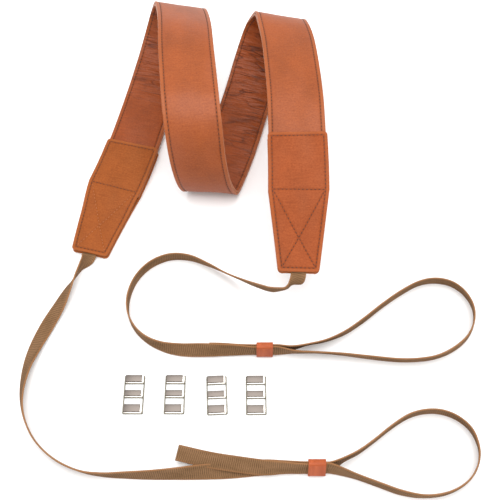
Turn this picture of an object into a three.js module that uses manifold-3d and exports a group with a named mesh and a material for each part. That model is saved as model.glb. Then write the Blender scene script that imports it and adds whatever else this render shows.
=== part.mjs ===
// Camera neck strap, lying on a table. Millimetres, +Z up, origin on the table under the
// middle of the whole strap. The wide leather band is two leathers laid along one route:
// it starts flat on the table at the left end, folds over at the far side, arches back,
// bends down to the table, runs away again, folds over once more and ends in the air at
// the right end. Each end has a stitched patch on both faces, and a narrow webbing comes
// out between the patches, stands on edge around a loop and goes back through its keeper.
// Four metal ladder sliders lie beside the webbing.
import * as THREE from 'three'
import { mergeVertices } from 'three/addons/utils/BufferGeometryUtils.js'
import Module from 'manifold-3d'

// Driving dimensions
const BAND_WIDTH = 39.2
const OUTER_THICK = 1.9
const LINING_THICK = 1.8
const LAYER_GAP = 0.3
const LEATHER_BEVEL = 0.45

const TAB_WIDTH = 40.8
const TAB_END_WIDTH = 26.6
const TAB_TAPER = 57 // from the webbing end to the middle seam
const TAB_LENGTH = 98
const TAB_THICK = 1.4
const TAB_CORNER = 2.5
const TAB_STEP = 7 // length over which the face patch steps down past the band's end
const TAB_SEAM_HOLD = 2 // the band reaches this far past the middle seam

const WEB_WIDTH = 10
const WEB_THICK = 1.1
const WEB_START = 1 // webbing starts this far from the band's hidden end
const WEB_SPACING = 1.5 // centre to centre of the two webbings in a keeper

const KEEPER_LENGTH = 11
const KEEPER_WALL = 1
const KEEPER_CLEAR = 0.3
const KEEPER_CORNER = 1.2
const KEEPER_HOLE_CORNER = 0.2
const KEEPER_LEAD = 3.5 // the webbings run straight this far past a keeper

const SLIDER_WIDTH = 13.4
const SLIDER_BARS = [5.8, 5.0, 6.2] // far to near
const SLIDER_SLOT = 4.5
const SLIDER_RAIL = 0.95
const SLIDER_RAIL_HEIGHT = 1.3
const SLIDER_HEIGHT = 2.2
const SLIDER_BEVEL = 0.6
const SLIDER_CORNER = 1
const SLIDER_SLOT_CORNER = 0.3
const SLIDER_BAR_CORNER = 0.4
const SLIDER_BAR_FOOT = 0.1 // the bars' rounded edges start this far off the table

// Lengths between the rings of the strips
const BAND_STEP = 6.2
const WEB_STEP = 4.4
const TAPER_STEP = 10
const DROP_STEP = 1.4
const TAB_TOP_RING_STEP = 7
const SAMPLES_PER_ROW = 16

const LEATHER_TAN = 0xc56f42
const LINING_TAN = 0x9c5730
const WEBBING_OLIVE = 0x8c7250
const NICKEL = 0xa89c95

// Route of the band's middle line: place on and above the table, and roll in degrees,
// positive where the right edge lies lower. TAB_FLAT is the height that puts the under
// patch of the left end flat on the table.
const BAND_HALF = LAYER_GAP / 2 + OUTER_THICK
const TAB_FLAT = BAND_HALF + LAYER_GAP + TAB_THICK
const bandRows = [
  { x: -115.9, y: -4.5, z: TAB_FLAT, roll: 0 },
  { x: -109.5, y: 22, z: TAB_FLAT, roll: 0 },
  { x: -102.4, y: 48.5, z: TAB_FLAT, roll: 0 },
  { x: -95.9, y: 70, z: TAB_FLAT, roll: 0 },
  { x: -89.7, y: 94.5, z: TAB_FLAT, roll: 0 },
  { x: -85.3, y: 116, z: 3.2, roll: 0 },
  { x: -81, y: 139, z: 2.3, roll: 0 },
  { x: -76.6, y: 161, z: 3, roll: 0 },
  { x: -71.3, y: 181, z: 8, roll: 0 },
  { x: -65.2, y: 196, z: 20, roll: 4 },
  { x: -60.1, y: 199, z: 34, roll: 7 },
  { x: -55.6, y: 192, z: 48, roll: 8 },
  { x: -52, y: 177, z: 58, roll: 7 },
  { x: -48.2, y: 150, z: 71, roll: 4 },
  { x: -45.7, y: 123.5, z: 78.5, roll: 0 },
  { x: -43.2, y: 99, z: 80, roll: 0 },
  { x: -40.5, y: 73.5, z: 80, roll: 0 },
  { x: -38.2, y: 55, z: 69, roll: 0 },
  { x: -36.3, y: 45.5, z: 46.5, roll: -2 },
  { x: -33, y: 42.5, z: 22.5, roll: -3 },
  { x: -29, y: 48, z: 7, roll: -2 },
  { x: -23.7, y: 62, z: 2.9, roll: 0 },
  { x: -14.7, y: 90, z: 2.3, roll: 0 },
  { x: -6.5, y: 121, z: 2.3, roll: 0 },
  { x: 0.8, y: 150, z: 3, roll: 0 },
  { x: 6.6, y: 171, z: 8, roll: 0 },
  { x: 13.2, y: 186, z: 20, roll: 4 },
  { x: 19.2, y: 188.5, z: 33, roll: 8 },
  { x: 23.2, y: 182, z: 47, roll: 9 },
  { x: 25.5, y: 167, z: 55.5, roll: 6 },
  { x: 28.3, y: 145, z: 61.5, roll: 2 },
  { x: 30.1, y: 118, z: 66, roll: 0 },
  { x: 31.7, y: 86, z: 68, roll: 0 },
  { x: 32.2, y: 57, z: 65.5, roll: 0 },
  { x: 32.6, y: 35, z: 61.5, roll: 0 },
  { x: 32.5, y: 14, z: 57, roll: 0 },
  { x: 32.1, y: -13.5, z: 51.5, roll: 0 },
  { x: 31.4, y: -41, z: 47, roll: 0 },
]

// Routes of the webbings' middle lines outside the patches. Lean is the turn about the
// webbing's own length in degrees: 0 or 180 lies flat, 90 stands on edge.
const leftWebIn = [
  { x: -116.3, y: -6.9, z: 2.7, lean: 12 },
  { x: -117.2, y: -10.3, z: 4.3, lean: 50 },
  { x: -120.2, y: -15.7, z: 5.3, lean: 88 },
  { x: -123.9, y: -24.5, z: 5.3, lean: 108 },
  { x: -127.3, y: -32.7, z: 5, lean: 131 },
  { x: -132.4, y: -45, z: 3.2, lean: 158 },
  { x: -139.2, y: -59.7, z: 1.9, lean: 176 },
  { x: -145.1, y: -75.4, z: 2.5, lean: 160 },
  { x: -148.5, y: -90.6, z: 4.1, lean: 137 },
  { x: -149.2, y: -106.9, z: 5, lean: 118 },
  { x: -146.6, y: -120.9, z: 5.2, lean: 104 },
  { x: -140.4, y: -133.9, z: 5.1, lean: 96 },
  { x: -131.5, y: -144.3, z: 5.1, lean: 91 },
  { x: -119.8, y: -152.6, z: 5.1, lean: 87 },
  { x: -105.5, y: -158.3, z: 5.1, lean: 84 },
  { x: -91.4, y: -160.4, z: 5.1, lean: 91 },
  { x: -76, y: -160.6, z: 5.2, lean: 102 },
  { x: -61, y: -160.4, z: 5, lean: 112 },
  { x: -46, y: -159.6, z: 4.6, lean: 124 },
  { x: -30, y: -158.4, z: 3.5, lean: 144 },
  { x: -12, y: -157.2, z: 2.4, lean: 160 },
  { x: 6, y: -155.6, z: 2.5, lean: 159 },
  { x: 20, y: -155.6, z: 4.8, lean: 131 },
]
const leftWebLoop = [
  { x: 58.5, y: -151.4, z: 5.9, lean: 95 },
  { x: 68.6, y: -146.3, z: 5.4, lean: 93 },
  { x: 79.1, y: -139.1, z: 5.3, lean: 92 },
  { x: 90.5, y: -130.6, z: 5.2, lean: 93 },
  { x: 101.8, y: -123.7, z: 5.1, lean: 93 },
  { x: 113, y: -120.6, z: 5.1, lean: 91 },
  { x: 124, y: -121, z: 5.1, lean: 89 },
  { x: 134.2, y: -125.4, z: 5.1, lean: 85 },
  { x: 141.8, y: -133.6, z: 5.1, lean: 81 },
  { x: 144.5, y: -145.9, z: 5.1, lean: 77 },
  { x: 141.1, y: -156.9, z: 5.1, lean: 81 },
  { x: 133.3, y: -165.6, z: 5.1, lean: 88 },
  { x: 121.2, y: -171.5, z: 5.1, lean: 90 },
  { x: 107, y: -173.3, z: 5.1, lean: 91 },
  { x: 93, y: -171.1, z: 5.1, lean: 86 },
  { x: 79, y: -166.2, z: 5.2, lean: 86 },
  { x: 65, y: -161.3, z: 5.7, lean: 84 },
]
const leftWebTail = [
  { x: 20, y: -156.6, z: 7, lean: 54 },
  { x: 8, y: -156.2, z: 6.2, lean: 30 },
  { x: -8, y: -154.1, z: 5.6, lean: 18 },
  { x: -25, y: -151.6, z: 6, lean: 14 },
  { x: -45.8, y: -147, z: 6.2, lean: 8 },
]
const rightWebIn = [
  { x: 31.1, y: -43.2, z: 44.5, lean: 8 },
  { x: 30.3, y: -44.7, z: 42.8, lean: 40 },
  { x: 28.6, y: -45.7, z: 40.8, lean: 82 },
  { x: 26, y: -46.4, z: 38.4, lean: 114 },
  { x: 22, y: -46.8, z: 35, lean: 112 },
  { x: 16, y: -45.3, z: 30.2, lean: 107 },
  { x: 10.5, y: -42.4, z: 25.5, lean: 104 },
  { x: 0.3, y: -35.2, z: 18, lean: 108 },
  { x: -8.6, y: -28.4, z: 12, lean: 113 },
  { x: -17, y: -22.4, z: 8, lean: 112 },
  { x: -29, y: -15, z: 5.8, lean: 103 },
  { x: -43, y: -8.9, z: 5.2, lean: 93 },
  { x: -57, y: -8.1, z: 5.1, lean: 89 },
  { x: -70.1, y: -13.8, z: 5.1, lean: 88 },
  { x: -79.6, y: -24.4, z: 5.1, lean: 89 },
  { x: -84.4, y: -38, z: 5.1, lean: 89 },
  { x: -84.1, y: -51, z: 5.1, lean: 91 },
  { x: -79.3, y: -61.9, z: 5.1, lean: 92 },
  { x: -71, y: -70.3, z: 5.1, lean: 96 },
  { x: -60, y: -75.8, z: 5.1, lean: 108 },
  { x: -47, y: -78.2, z: 4.6, lean: 127 },
  { x: -33, y: -78.6, z: 5, lean: 135 },
  { x: -18, y: -78.8, z: 5.7, lean: 122 },
  { x: -8, y: -79, z: 6.1, lean: 112 },
]
const rightWebLoop = [
  { x: 30, y: -80.2, z: 6, lean: 80 },
  { x: 46, y: -80.5, z: 5.6, lean: 74 },
  { x: 62, y: -81.6, z: 5.3, lean: 77 },
  { x: 80, y: -83.8, z: 5.2, lean: 81 },
  { x: 98, y: -85.7, z: 5.2, lean: 82 },
  { x: 112, y: -85.6, z: 5.2, lean: 83 },
  { x: 125, y: -83.4, z: 5.2, lean: 86 },
  { x: 137, y: -77.9, z: 5.1, lean: 92 },
  { x: 147.1, y: -69.6, z: 5.1, lean: 95 },
  { x: 153.1, y: -59, z: 5.1, lean: 99 },
  { x: 154.3, y: -47.8, z: 5.1, lean: 102 },
  { x: 150.2, y: -37.3, z: 5.1, lean: 101 },
  { x: 142.1, y: -29.8, z: 5.1, lean: 98 },
  { x: 131, y: -27, z: 5.1, lean: 94 },
  { x: 119, y: -29, z: 5.1, lean: 93 },
  { x: 105.8, y: -36.1, z: 5.1, lean: 90 },
  { x: 91.6, y: -46.1, z: 5.1, lean: 90 },
  { x: 78, y: -56.9, z: 5.1, lean: 90 },
  { x: 65, y: -65.9, z: 5.2, lean: 94 },
  { x: 52, y: -71.7, z: 5.3, lean: 101 },
  { x: 40, y: -74.6, z: 5.6, lean: 105 },
  { x: 28.5, y: -77.5, z: 6, lean: 94 },
]
const rightWebTail = [
  { x: -8, y: -77.75, z: 5.7, lean: 76 },
  { x: -18, y: -77.6, z: 4.9, lean: 62 },
  { x: -27, y: -77.7, z: 4.3, lean: 50 },
]

// Keepers stand along +X with their own lean. Side 1 is the layer on the far side.
const leftKeeper = { x: 41.5, y: -156.4, z: 6.7, lean: 115 }
const rightKeeper = { x: 9.8, y: -78.9, z: 6.6, lean: 102 }

const sliderRows = [
  { x: -76.5, y: -108, turn: 0 },
  { x: -49.5, y: -108, turn: 0 },
  { x: -21.8, y: -108.5, turn: 2.7 },
  { x: 4, y: -108.5, turn: 0.6 },
]

const UP = new THREE.Vector3(0, 0, 1)
const RIGHT = new THREE.Vector3(1, 0, 0)
const radians = THREE.MathUtils.degToRad
const lerp = THREE.MathUtils.lerp

// A smooth value through four table values at part t of the middle span
function through(a, b, c, d, t) {
  const bend = 2 * a - 5 * b + 4 * c - d
  return 0.5 * (2 * b + (c - a) * t + bend * t * t + (3 * b - a - 3 * c + d) * t * t * t)
}

// Turns table rows into a route: point, along, across and out at any length s
function layRoute(rows, acrossAt) {
  const keys = Object.keys(rows[0])
  const last = rows.length - 1
  const before = (a, b) => Object.fromEntries(keys.map((k) => [k, 2 * a[k] - b[k]]))
  const ends = [before(rows[0], rows[1]), ...rows, before(rows[last], rows[last - 1])]
  const samples = []
  for (let i = 0; i < last; i++) {
    for (let k = 0; k < SAMPLES_PER_ROW; k++) {
      const four = ends.slice(i, i + 4)
      const t = k / SAMPLES_PER_ROW
      samples.push(Object.fromEntries(keys.map((key) => [key, through(...four.map((r) => r[key]), t)])))
    }
  }
  samples.push(rows[last])
  const points = samples.map((r) => new THREE.Vector3(r.x, r.y, r.z))
  const stations = points.map((point, i) => {
    const next = points[Math.min(i + 1, points.length - 1)]
    const previous = points[Math.max(i - 1, 0)]
    const along = next.clone().sub(previous).normalize()
    const across = acrossAt(along, samples[i])
    return { s: 0, point, along, across, out: across.clone().cross(along) }
  })
  for (let i = 1; i < stations.length; i++) {
    stations[i].s = stations[i - 1].s + points[i].distanceTo(points[i - 1])
  }
  const length = stations.at(-1).s
  const at = (s) => {
    let i = 1
    while (i < stations.length - 1 && stations[i].s < s) i++
    const a = stations[i - 1]
    const b = stations[i]
    const t = (s - a.s) / (b.s - a.s)
    return {
      point: a.point.clone().lerp(b.point, t),
      along: a.along.clone().lerp(b.along, t).normalize(),
      across: a.across.clone().lerp(b.across, t).normalize(),
      out: a.out.clone().lerp(b.out, t).normalize(),
    }
  }
  return { length, at }
}

function turned(across, along, degrees) {
  const out = across.clone().cross(along)
  const angle = radians(degrees)
  return across.clone().multiplyScalar(Math.cos(angle)).addScaledVector(out, Math.sin(angle))
}

// The band's width stays as near to +X as its direction allows, then rolls
function bandAcross(along, row) {
  const level = RIGHT.clone().addScaledVector(along, -RIGHT.dot(along)).normalize()
  return turned(level, along, row.roll)
}

// A webbing's width is level at lean 0
function webAcross(along, row) {
  return turned(along.clone().cross(UP).normalize(), along, row.lean)
}

function bevelledSection(width, bevel) {
  const half = width / 2
  const shape = new THREE.Shape()
  if (bevel === 0) {
    shape.moveTo(-half, 0).lineTo(half, 0).lineTo(half, 1).lineTo(-half, 1).closePath()
    return shape
  }
  shape.moveTo(-half, bevel).lineTo(-half + bevel, 0).lineTo(half - bevel, 0).lineTo(half, bevel)
  shape.lineTo(half, 1 - bevel).lineTo(half - bevel, 1).lineTo(-half + bevel, 1).lineTo(-half, 1 - bevel)
  return shape.closePath()
}

function welded(geometry) {
  geometry.deleteAttribute('normal')
  geometry.deleteAttribute('uv')
  return mergeVertices(geometry, 1e-4)
}

function named(name, geometry, colour, roughness, metalness) {
  const body = welded(geometry)
  body.computeVertexNormals()
  const material = new THREE.MeshStandardMaterial({ color: colour, roughness, metalness })
  const mesh = new THREE.Mesh(body, material)
  mesh.name = name
  return mesh
}

// A strip of material: a section carried along a route, with a ring at each of the lengths.
// low and high are its two faces along the route's out direction; widthAt scales it.
// A mirrored strip has its facets' diagonals the other way, so that they follow those of
// the strip below it where the route twists.
function strip(route, { lengths, width, bevel = 0, low, high, widthAt, mirrored }) {
  const steps = lengths.length - 1
  const geometry = new THREE.ExtrudeGeometry(bevelledSection(width, bevel), {
    depth: steps, steps, bevelEnabled: false,
  })
  const position = geometry.attributes.position
  for (let i = 0; i < position.count; i++) {
    const s = lengths[Math.round(position.getZ(i))]
    const scale = widthAt ? widthAt(s) / width : 1
    const { point, across, out } = route.at(s)
    const place = point.clone()
    place.addScaledVector(across, (mirrored ? 1 : -1) * position.getX(i) * scale)
    place.addScaledVector(out, lerp(low(s), high(s), position.getY(i)))
    position.setXYZ(i, place.x, place.y, place.z)
  }
  const body = welded(geometry)
  if (mirrored) body.index.array.reverse()
  return body
}

function evenly(from, to, step) {
  const count = Math.max(Math.round((to - from) / step), 1)
  return Array.from({ length: count + 1 }, (_, i) => lerp(from, to, i / count))
}

// Leather band: outer leather below the route, lining above it
const band = layRoute(bandRows, bandAcross)
const bandFrom = TAB_TAPER - TAB_SEAM_HOLD
const bandTo = band.length - bandFrom
const bandLengths = evenly(bandFrom, bandTo, BAND_STEP)
const outerTop = -LAYER_GAP / 2
const outerBottom = outerTop - OUTER_THICK
const liningBottom = LAYER_GAP / 2
const liningTop = liningBottom + LINING_THICK

const leather = named('strap_leather', strip(band, {
  lengths: bandLengths, width: BAND_WIDTH, bevel: LEATHER_BEVEL / OUTER_THICK,
  low: () => outerBottom, high: () => outerTop,
}), LEATHER_TAN, 0.55, 0)
const lining = named('strap_lining', strip(band, {
  lengths: bandLengths, width: BAND_WIDTH, mirrored: true,
  low: () => liningBottom, high: () => liningTop,
}), LINING_TAN, 0.6, 0)

// End patches. d is the distance from the webbing end, side is 1 where the visible face
// is the lining's and -1 where it is the outer leather's.
function tabWidth(d) {
  const taper = lerp(TAB_END_WIDTH, TAB_WIDTH, Math.min(d / TAB_TAPER, 1))
  const toEnd = Math.min(d, TAB_LENGTH - d)
  const inCorner = Math.max(TAB_CORNER - toEnd, 0)
  return taper - 2 * (TAB_CORNER - Math.sqrt(TAB_CORNER ** 2 - inCorner ** 2))
}

const bandFace = BAND_HALF
const webFace = -bandFace + LAYER_GAP + WEB_THICK
const webMiddle = -bandFace + LAYER_GAP / 2 + WEB_THICK / 2

const dropFrom = bandFrom - 1
const dropTo = dropFrom - TAB_STEP

function faceDrop(d) {
  const t = THREE.MathUtils.clamp((dropFrom - d) / TAB_STEP, 0, 1)
  return lerp(bandFace, webFace, t * t * (3 - 2 * t)) + LAYER_GAP
}

const cornerLengths = [0, 0.15, 0.5].map((part) => part * TAB_CORNER)
const tabLengths = [
  ...cornerLengths,
  ...evenly(TAB_CORNER, dropTo, TAPER_STEP).slice(0, -1),
  ...evenly(dropTo, dropFrom, DROP_STEP),
  ...evenly(dropFrom, TAB_LENGTH - TAB_CORNER, TAB_TOP_RING_STEP).slice(1),
  ...cornerLengths.map((d) => TAB_LENGTH - d).reverse(),
]

function tabStrip(side, face) {
  const start = side > 0 ? 0 : band.length
  const d = (s) => Math.abs(s - start)
  const inner = face ? (s) => side * faceDrop(d(s)) : () => -side * (bandFace + LAYER_GAP)
  const outer = (s) => inner(s) + (face ? side : -side) * TAB_THICK
  const up = (face ? side : -side) > 0
  return strip(band, {
    lengths: side > 0 ? tabLengths : tabLengths.map((s) => band.length - s).reverse(),
    width: TAB_WIDTH, bevel: LEATHER_BEVEL / TAB_THICK,
    low: up ? inner : outer, high: up ? outer : inner, widthAt: (s) => tabWidth(d(s)),
  })
}

const tabMesh = (name, side, face) => named(name, tabStrip(side, face), LEATHER_TAN, 0.55, 0)

// Webbing: out of the patches, to its keeper, round the loop, back through the keeper
const webInTab = [
  { d: bandFrom - WEB_START, lean: 0 },
  { d: 40, lean: 0 },
  { d: 24, lean: 0 },
  { d: 10, lean: 0 },
  { d: 1, lean: 0 },
]

function rowsInTab(side) {
  return webInTab.map(({ d, lean }) => {
    const { point, out } = band.at(side > 0 ? d : band.length - d)
    point.addScaledVector(out, side * webMiddle)
    return { x: point.x, y: point.y, z: point.z, lean }
  })
}

function keeperFrame(keeper) {
  const lean = radians(keeper.lean)
  return {
    across: new THREE.Vector3(0, -Math.cos(lean), Math.sin(lean)),
    out: new THREE.Vector3(0, Math.sin(lean), Math.cos(lean)),
  }
}

function rowsInKeeper(keeper, side) {
  const { out } = keeperFrame(keeper)
  const beyond = KEEPER_LENGTH / 2 + KEEPER_LEAD
  return [-beyond, -beyond / 3, beyond / 3, beyond].map((d) => {
    const point = new THREE.Vector3(keeper.x + d, keeper.y, keeper.z)
    point.addScaledVector(out, side * WEB_SPACING / 2)
    return { x: point.x, y: point.y, z: point.z, lean: keeper.lean }
  })
}

function rowsBack(keeper, side) {
  return rowsInKeeper(keeper, side).reverse().map((row) => ({ ...row, lean: 180 - row.lean }))
}

function webbing(name, rows) {
  const route = layRoute(rows, webAcross)
  return named(name, strip(route, {
    lengths: evenly(0, route.length, WEB_STEP), width: WEB_WIDTH,
    low: () => -WEB_THICK / 2, high: () => WEB_THICK / 2,
  }), WEBBING_OLIVE, 0.9, 0)
}

const leftWebbing = webbing('webbing_left', [
  ...rowsInTab(1), ...leftWebIn, ...rowsInKeeper(leftKeeper, 1),
  ...leftWebLoop, ...rowsBack(leftKeeper, -1), ...leftWebTail,
])
const rightWebbing = webbing('webbing_right', [
  ...rowsInTab(-1), ...rightWebIn, ...rowsInKeeper(rightKeeper, -1),
  ...rightWebLoop, ...rowsBack(rightKeeper, 1), ...rightWebTail,
])

// Keeper: a leather sleeve around the two webbings
function roundedBox(path, width, height, radius) {
  const x = width / 2
  const y = height / 2
  path.moveTo(-x + radius, -y).lineTo(x - radius, -y)
  path.absarc(x - radius, -y + radius, radius, -Math.PI / 2, 0)
  path.absarc(x - radius, y - radius, radius, 0, Math.PI / 2)
  path.absarc(-x + radius, y - radius, radius, Math.PI / 2, Math.PI)
  path.absarc(-x + radius, -y + radius, radius, Math.PI, Math.PI * 1.5)
  return path.closePath()
}

function keeperSleeve(name, keeper) {
  const holeWidth = WEB_WIDTH + 2 * KEEPER_CLEAR
  const holeHeight = WEB_SPACING + WEB_THICK + 2 * KEEPER_CLEAR
  const wall = 2 * KEEPER_WALL
  const shape = roundedBox(new THREE.Shape(), holeWidth + wall, holeHeight + wall, KEEPER_CORNER)
  shape.holes.push(roundedBox(new THREE.Path(), holeWidth, holeHeight, KEEPER_HOLE_CORNER))
  const sleeve = new THREE.ExtrudeGeometry(shape, {
    depth: KEEPER_LENGTH, bevelEnabled: false, curveSegments: 3,
  })
  const mesh = named(name, sleeve, LEATHER_TAN, 0.55, 0)
  const { across, out } = keeperFrame(keeper)
  const turn = new THREE.Matrix4().makeBasis(across.clone().negate(), out, RIGHT)
  mesh.quaternion.setFromRotationMatrix(turn)
  mesh.position.set(keeper.x - KEEPER_LENGTH / 2, keeper.y, keeper.z)
  return mesh
}

// Slider: a thin frame with three raised bars, joined into one solid
const wasm = await Module()
wasm.setup()

function solidOf(geometry) {
  const body = welded(geometry)
  return new wasm.Manifold(new wasm.Mesh({
    numProp: 3,
    vertProperties: new Float32Array(body.attributes.position.array),
    triVerts: new Uint32Array(body.index.array),
  }))
}

function geometryOf(solid) {
  const { vertProperties, triVerts } = solid.getMesh()
  const geometry = new THREE.BufferGeometry()
  geometry.setAttribute('position', new THREE.BufferAttribute(new Float32Array(vertProperties), 3))
  geometry.setIndex(new THREE.BufferAttribute(new Uint32Array(triVerts), 1))
  return geometry
}

const sliderLength = SLIDER_BARS.reduce((sum, bar) => sum + bar, 0) + 2 * SLIDER_SLOT

function sliderBody() {
  const frameShape = roundedBox(new THREE.Shape(), SLIDER_WIDTH, sliderLength, SLIDER_CORNER)
  const slotWidth = SLIDER_WIDTH - 2 * SLIDER_RAIL
  const inset = 2 * SLIDER_BEVEL
  let far = sliderLength / 2
  const bars = []
  for (const bar of SLIDER_BARS) {
    const middle = far - bar / 2
    const shape = roundedBox(new THREE.Shape(), SLIDER_WIDTH - inset, bar - inset, SLIDER_BAR_CORNER)
    bars.push(new THREE.ExtrudeGeometry(shape, {
      depth: SLIDER_HEIGHT - SLIDER_BEVEL - SLIDER_BAR_FOOT, curveSegments: 2,
      bevelThickness: SLIDER_BEVEL, bevelSize: SLIDER_BEVEL, bevelSegments: 1,
    }).translate(0, middle, SLIDER_BAR_FOOT))
    far -= bar + SLIDER_SLOT
  }
  let edge = sliderLength / 2 - SLIDER_BARS[0]
  for (const bar of SLIDER_BARS.slice(1)) {
    const slot = roundedBox(new THREE.Path(), slotWidth, SLIDER_SLOT, SLIDER_SLOT_CORNER)
    const middle = edge - SLIDER_SLOT / 2
    const corners = slot.getPoints(2).map((p) => new THREE.Vector2(p.x, p.y + middle))
    frameShape.holes.push(new THREE.Path(corners))
    edge -= SLIDER_SLOT + bar
  }
  const frame = new THREE.ExtrudeGeometry(frameShape, {
    depth: SLIDER_RAIL_HEIGHT, bevelEnabled: false, curveSegments: 3,
  })
  const below = new THREE.BoxGeometry(2 * sliderLength, 2 * sliderLength, SLIDER_HEIGHT)
  below.translate(0, 0, -SLIDER_HEIGHT / 2)
  let body = solidOf(frame)
  for (const bar of bars) body = body.add(solidOf(bar))
  return geometryOf(body.subtract(solidOf(below)))
}

function slider(row, index) {
  const mesh = named(`slider_${index + 1}`, sliderBody(), NICKEL, 0.35, 0.9)
  mesh.position.set(row.x, row.y, 0)
  mesh.rotation.z = radians(row.turn)
  return mesh
}

// Assembly, moved so that the origin lies under the middle of the whole strap
const leftEnd = new THREE.Group()
leftEnd.add(tabMesh('left_tab_face', 1, true), tabMesh('left_tab_back', 1, false))
leftEnd.add(leftWebbing, keeperSleeve('keeper_left', leftKeeper))

const rightEnd = new THREE.Group()
rightEnd.add(tabMesh('right_tab_face', -1, true), tabMesh('right_tab_back', -1, false))
rightEnd.add(rightWebbing, keeperSleeve('keeper_right', rightKeeper))

const strap = new THREE.Group()
strap.add(leather, lining, leftEnd, rightEnd, ...sliderRows.map(slider))
strap.updateMatrixWorld(true)
const box = new THREE.Box3().setFromObject(strap, true)
const middle = box.getCenter(new THREE.Vector3())
strap.position.set(-middle.x, -middle.y, -box.min.z)

export default strap
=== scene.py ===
# %% [markdown]
# A leather camera neck strap
#
# The strap lies on a white table: a wide leather band that coils up over itself, a stitched
# patch on both faces of each end, a narrow woven webbing out of each end, and four loose
# metal sliders. Its solid model is already there. This notebook dresses it: it builds the
# fine surface of each piece where the solid piece lies, gives it a finish, and hides the
# plain solid. The model is loaded first, because every size below is measured against it.

# %% Load the solid model
import math

import bmesh
import bpy
import numpy as np
from mathutils import Matrix, Vector, noise


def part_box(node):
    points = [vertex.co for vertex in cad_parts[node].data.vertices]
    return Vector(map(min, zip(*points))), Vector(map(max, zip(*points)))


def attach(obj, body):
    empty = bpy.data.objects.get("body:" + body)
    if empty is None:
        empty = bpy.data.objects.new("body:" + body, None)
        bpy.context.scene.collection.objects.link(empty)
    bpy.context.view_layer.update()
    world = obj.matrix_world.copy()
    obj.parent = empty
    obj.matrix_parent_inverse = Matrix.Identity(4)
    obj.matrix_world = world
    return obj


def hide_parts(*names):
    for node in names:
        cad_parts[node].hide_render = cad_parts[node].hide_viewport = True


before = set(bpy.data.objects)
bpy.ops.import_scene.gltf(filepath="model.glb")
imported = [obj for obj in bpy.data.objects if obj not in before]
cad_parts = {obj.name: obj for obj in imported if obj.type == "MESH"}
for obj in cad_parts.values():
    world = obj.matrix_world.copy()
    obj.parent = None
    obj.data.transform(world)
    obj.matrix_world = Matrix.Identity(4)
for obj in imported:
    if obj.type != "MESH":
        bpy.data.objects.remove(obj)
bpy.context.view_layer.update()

BODY = "root"
MM = 0.001

# %% [markdown]
# The camera
#
# A camera is easiest to place where the photographer stood. The strap was taken from the
# near side and above, looking down at 62 degrees, from about half a metre. A lens of
# 54 mm on a 36 mm sensor gives the same perspective.
#
# The routes further down are written in millimetres from the point of the table that the
# camera looks at. The model has its own origin under the middle of the strap. One slider
# stands at a known place of the table, so its box in the model gives the shift between
# the two.

# %% Place the camera
SLIDER_ONE = (-76.5, -108.0)
CAMERA_PLACE = (0.0, -254.0, 478.0)
CAMERA_ELEVATION = 62
LENS = 53.57

low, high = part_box("slider_1")
shift = Vector(((low[0] + high[0]) / 2, (low[1] + high[1]) / 2, low[2])) / MM
shift -= Vector((SLIDER_ONE[0], SLIDER_ONE[1], 0))

camera = bpy.data.objects.new("camera", bpy.data.cameras.new("camera"))
bpy.context.collection.objects.link(camera)
camera.location = (Vector(CAMERA_PLACE) + shift) * MM
camera.rotation_euler = (math.radians(90 - CAMERA_ELEVATION), 0, 0)
camera.data.lens = LENS
camera.data.sensor_width = 36
camera.data.clip_start = 0.01
bpy.context.scene.camera = camera
print("shift from the table point to the model's origin, mm:", [round(v, 3) for v in shift])

# %% [markdown]
# The table and the light
#
# The sheen on the folds tells where the light was: it sits where the leather mirrors the
# ceiling. So one big soft lamp hangs straight over the strap, and an even white world
# fills the shadows. The table is a light grey that this light makes just white, as in a
# photo that is exposed for the leather, so only the closest shadows stay on it. The
# leather that turns down at the folds sees only the world and the table, and goes dark.

# %% Make the table and the lamp
WORLD_LIGHT = 1.1
LAMP_PLACE = (0.0, 0.03, 1.05)
LAMP_SIZE = 0.95
LAMP_WATTS = 11.0
TABLE_SIZE = 6.0
TABLE_DROP = 0.0002  # the table lies this far under the strap, so that they never touch

world = bpy.data.worlds.new("white_studio")
world.use_nodes = True
world.node_tree.nodes["Background"].inputs["Color"].default_value = (1, 1, 1, 1)
world.node_tree.nodes["Background"].inputs["Strength"].default_value = WORLD_LIGHT
bpy.context.scene.world = world

lamp = bpy.data.objects.new("overhead_lamp", bpy.data.lights.new("overhead_lamp", "AREA"))
lamp.data.size = LAMP_SIZE
lamp.data.energy = LAMP_WATTS
lamp.location = LAMP_PLACE
lamp.rotation_euler = (-Vector(LAMP_PLACE)).to_track_quat("-Z", "Y").to_euler()
bpy.context.collection.objects.link(lamp)

bm = bmesh.new()
bmesh.ops.create_grid(bm, x_segments=1, y_segments=1, size=TABLE_SIZE / 2)
table_mesh = bpy.data.meshes.new("table")
bm.to_mesh(table_mesh)
bm.free()
table = bpy.data.objects.new("table", table_mesh)
table.location = (0, 0, -TABLE_DROP)
bpy.context.collection.objects.link(table)

bpy.context.scene.view_settings.view_transform = "Standard"
print("lamp: %.2f m wide, %.0f W" % (LAMP_SIZE, LAMP_WATTS))

# %% [markdown]
# Small helpers for materials
#
# A material is a handful of nodes in a tree. These helpers make a node, wire it up and
# turn a colour as a picture program shows it into the linear values that Blender mixes.
# Every piece carries a UV map in millimetres, u across the piece and v along it, and
# painted attributes: seam is 1 on a row of stitches, crease is 1 in a wrinkle or between
# two ribs, and rim is 1 on a cut edge. Patterns that follow the leather read those.

# %% Define the material helpers


def shade(red, green, blue):
    """Linear colour of a picture's 0 to 255 values."""
    parts = [value / 255 for value in (red, green, blue)]
    linear = [p / 12.92 if p <= 0.04045 else ((p + 0.055) / 1.055) ** 2.4 for p in parts]
    return (*linear, 1)


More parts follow.
